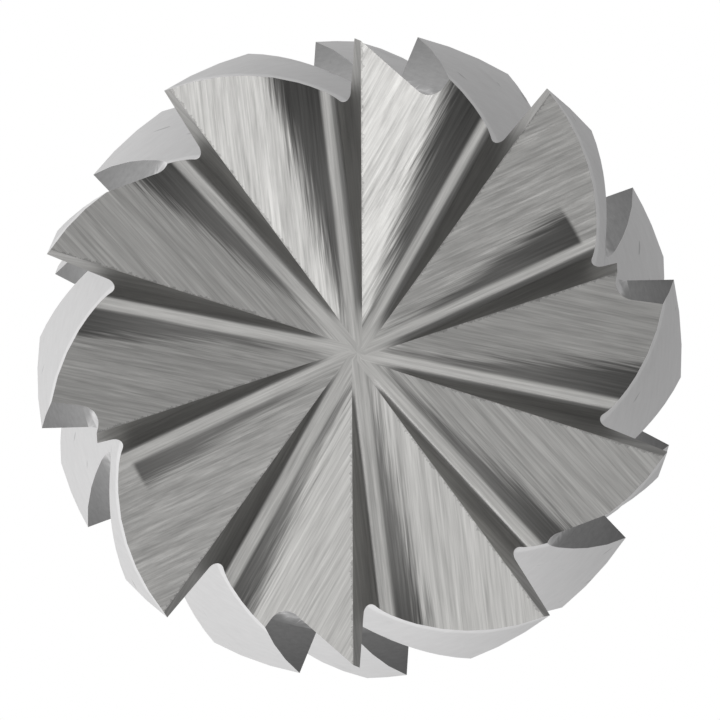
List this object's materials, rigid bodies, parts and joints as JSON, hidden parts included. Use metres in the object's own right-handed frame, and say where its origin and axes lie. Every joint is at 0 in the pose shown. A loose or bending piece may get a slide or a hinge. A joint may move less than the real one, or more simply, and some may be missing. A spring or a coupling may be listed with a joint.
{
  "type": "carbide burr",
  "caption": "Solid carbide rotary burr with a short cylindrical double-cut head, a toothed end cut, a neck and a thinner plain round shank.",
  "frame": {"origin": "centre of the shank's end face", "axes": "+Z along the tool's axis from the shank's end to the end cut; a cutting edge of the end cut lies 18.3 degrees from +X towards +Y"},
  "size_m": [0.008, 0.008, 0.06],
  "materials": {
    "ground_carbide": "ground"
  },
  "bodies": {
    "root": {"burr": "ground_carbide"}
  },
  "joints": []
}
